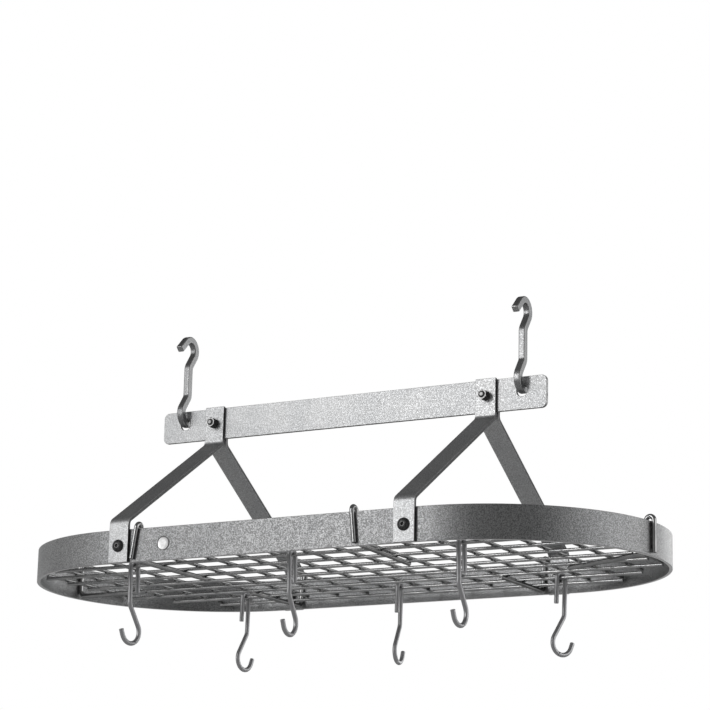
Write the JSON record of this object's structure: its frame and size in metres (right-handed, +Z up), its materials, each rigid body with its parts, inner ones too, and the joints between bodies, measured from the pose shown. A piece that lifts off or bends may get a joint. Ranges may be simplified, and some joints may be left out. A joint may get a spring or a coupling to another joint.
{
  "type": "hanging pot rack",
  "caption": "Oval hanging pot rack: flat steel rim on bent straps bolted to a top bar with ceiling hooks, a rod grid lying on rim clips, and loose open pot hooks.",
  "frame": {"origin": "midway between the seats in the upper bowls of the ceiling hooks, on the line that the ceiling fittings carry", "axes": "+Z up, +X along the rack to the right as the picture shows it, +Y away from the side that carries the badge"},
  "size_m": [0.9252, 0.4672, 0.4629],
  "materials": {
    "rack_steel": "hammered grey steel with a fine mottle, satin",
    "bolt_steel": "black oxide, satin",
    "badge": "plain bright disc, blank",
    "grid_rods": "drawn grey steel rod, satin",
    "hook_wire": "polished grey steel wire"
  },
  "bodies": {
    "ceiling_hooks": {"ceiling_hook_left": "rack_steel", "ceiling_hook_right": "rack_steel"},
    "rack": {"rim": "rack_steel", "top_bar": "rack_steel", "strap_front_left": "rack_steel", "strap_front_right": "rack_steel", "strap_rear_left": "rack_steel", "strap_rear_right": "rack_steel", "upper_bolts": "bolt_steel", "upper_nuts": "bolt_steel", "lower_bolts": "bolt_steel", "lower_nuts": "bolt_steel", "badge": "badge", "clip_front_left": "hook_wire", "clip_front_right": "hook_wire", "clip_rear_left": "hook_wire", "clip_rear_right": "hook_wire", "clip_end_left": "hook_wire", "clip_end_right": "hook_wire"},
    "grid": {"grid_long_rods": "grid_rods", "grid_cross_rods": "grid_rods"},
    "pot_hook_front_left": {"pot_hook_front_left": "hook_wire"},
    "pot_hook_front_middle": {"pot_hook_front_middle": "hook_wire"},
    "pot_hook_front_right": {"pot_hook_front_right": "hook_wire"},
    "pot_hook_rear_left": {"pot_hook_rear_left": "hook_wire"},
    "pot_hook_rear_middle": {"pot_hook_rear_middle": "hook_wire"},
    "pot_hook_rear_right": {"pot_hook_rear_right": "hook_wire"}
  },
  "joints": [
    {"name": "rack_swing", "type": "hinge", "parent": "ceiling_hooks", "child": "rack", "pos_m": [0, 0, -0.094], "axis": [1, 0, 0], "range_deg": [-15, 15]},
    {"name": "grid_lift", "type": "slide", "parent": "rack", "child": "grid", "axis": [0, 0, 1], "range_m": [0, 0.045]},
    {"name": "pot_hook_front_left_swing", "type": "hinge", "parent": "grid", "child": "pot_hook_front_left", "pos_m": [-0.24102, -0.1482, -0.33607], "axis": [1, 0, 0], "range_deg": [-30, 60]},
    {"name": "pot_hook_front_middle_swing", "type": "hinge", "parent": "grid", "child": "pot_hook_front_middle", "pos_m": [0.00598, -0.1482, -0.33607], "axis": [1, 0, 0], "range_deg": [-30, 60]},
    {"name": "pot_hook_front_right_swing", "type": "hinge", "parent": "grid", "child": "pot_hook_front_right", "pos_m": [0.25248, -0.1482, -0.33607], "axis": [1, 0, 0], "range_deg": [-30, 60]},
    {"name": "pot_hook_rear_left_swing", "type": "hinge", "parent": "grid", "child": "pot_hook_rear_left", "pos_m": [-0.24799, 0.1482, -0.33607], "axis": [1, 0, 0], "range_deg": [-60, 30]},
    {"name": "pot_hook_rear_middle_swing", "type": "hinge", "parent": "grid", "child": "pot_hook_rear_middle", "pos_m": [0.0042, 0.1482, -0.33607], "axis": [1, 0, 0], "range_deg": [-60, 30]},
    {"name": "pot_hook_rear_right_swing", "type": "hinge", "parent": "grid", "child": "pot_hook_rear_right", "pos_m": [0.25248, 0.1482, -0.33607], "axis": [1, 0, 0], "range_deg": [-60, 30]}
  ]
}
